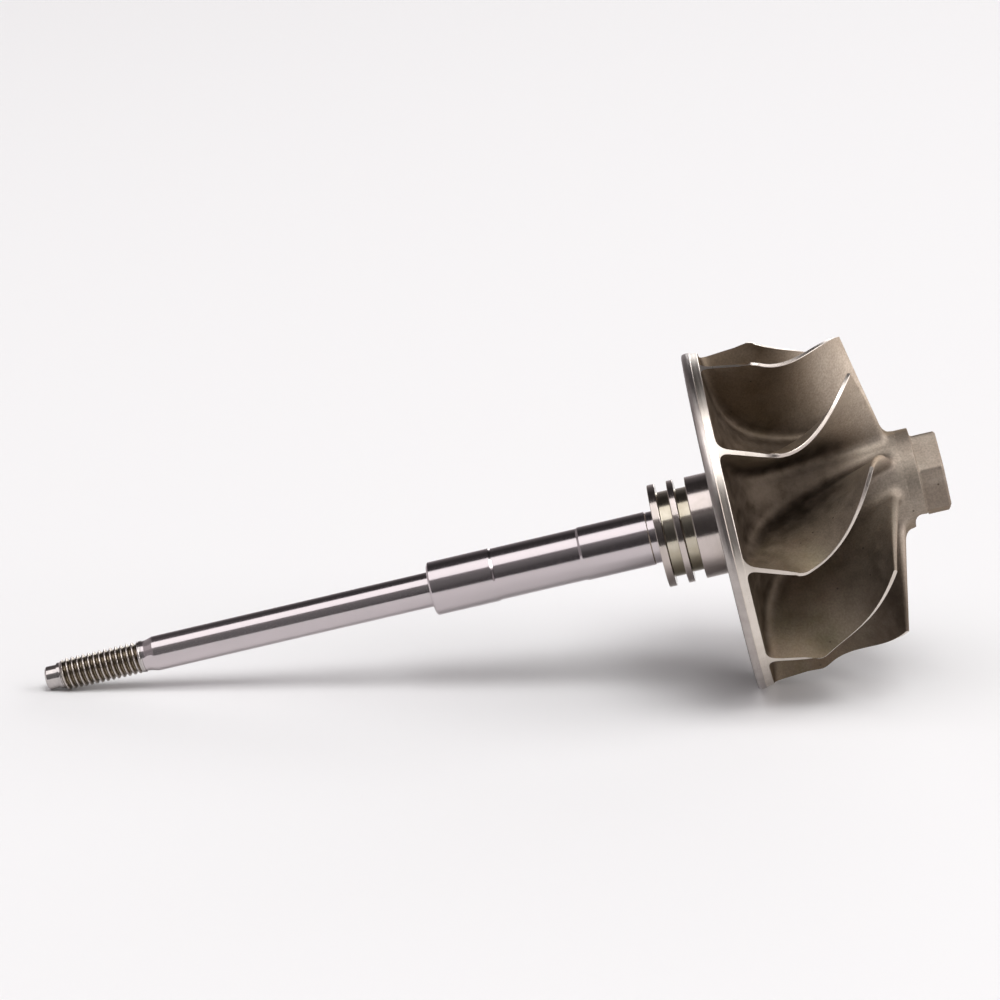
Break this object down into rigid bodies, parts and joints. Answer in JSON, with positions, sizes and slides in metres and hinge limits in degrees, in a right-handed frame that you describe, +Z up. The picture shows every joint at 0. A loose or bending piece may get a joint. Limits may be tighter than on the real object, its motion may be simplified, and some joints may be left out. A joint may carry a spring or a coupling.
{
  "type": "turbocharger shaft and turbine wheel",
  "caption": "Turbocharger rotor: a cast radial turbine wheel with swept blades and a hex nose on a slim turned steel shaft with journals, ring grooves and a threaded tip.",
  "frame": {"origin": "on the surface it lies on, under the middle of the whole rotor's box", "axes": "+Z up, +X along the rotor from the threaded tip towards the wheel, seen from above. The rotor lies on its thread and its disc's back edge, so its own axis climbs 12.8 degrees towards +X in the XZ plane"},
  "size_m": [0.1598, 0.06, 0.0609],
  "materials": {
    "ground_steel": "ground and polished, with faint lines round the shaft",
    "thread_steel": "rolled thread, darker and duller",
    "machined_alloy": "turned, satin",
    "cast_alloy": "brown-grey as-cast nickel alloy with a fine grain"
  },
  "bodies": {
    "root": {"pilot_tip": "thread_steel", "threaded_end": "thread_steel", "thread_relief": "ground_steel", "compressor_seat": "ground_steel", "front_journal": "ground_steel", "journal_waist": "ground_steel", "rear_journal": "ground_steel", "journal_undercut": "ground_steel", "front_ring_land": "ground_steel", "front_ring_groove": "ground_steel", "middle_ring_land": "ground_steel", "rear_ring_groove": "ground_steel", "seal_boss": "ground_steel", "back_disc": "machined_alloy", "wheel_hub": "cast_alloy", "blade_1": "cast_alloy", "blade_2": "cast_alloy", "blade_3": "cast_alloy", "blade_4": "cast_alloy", "blade_5": "cast_alloy", "blade_6": "cast_alloy", "blade_7": "cast_alloy", "blade_8": "cast_alloy", "blade_9": "cast_alloy", "nose_collar": "cast_alloy", "hex_nose": "cast_alloy"}
  },
  "joints": []
}
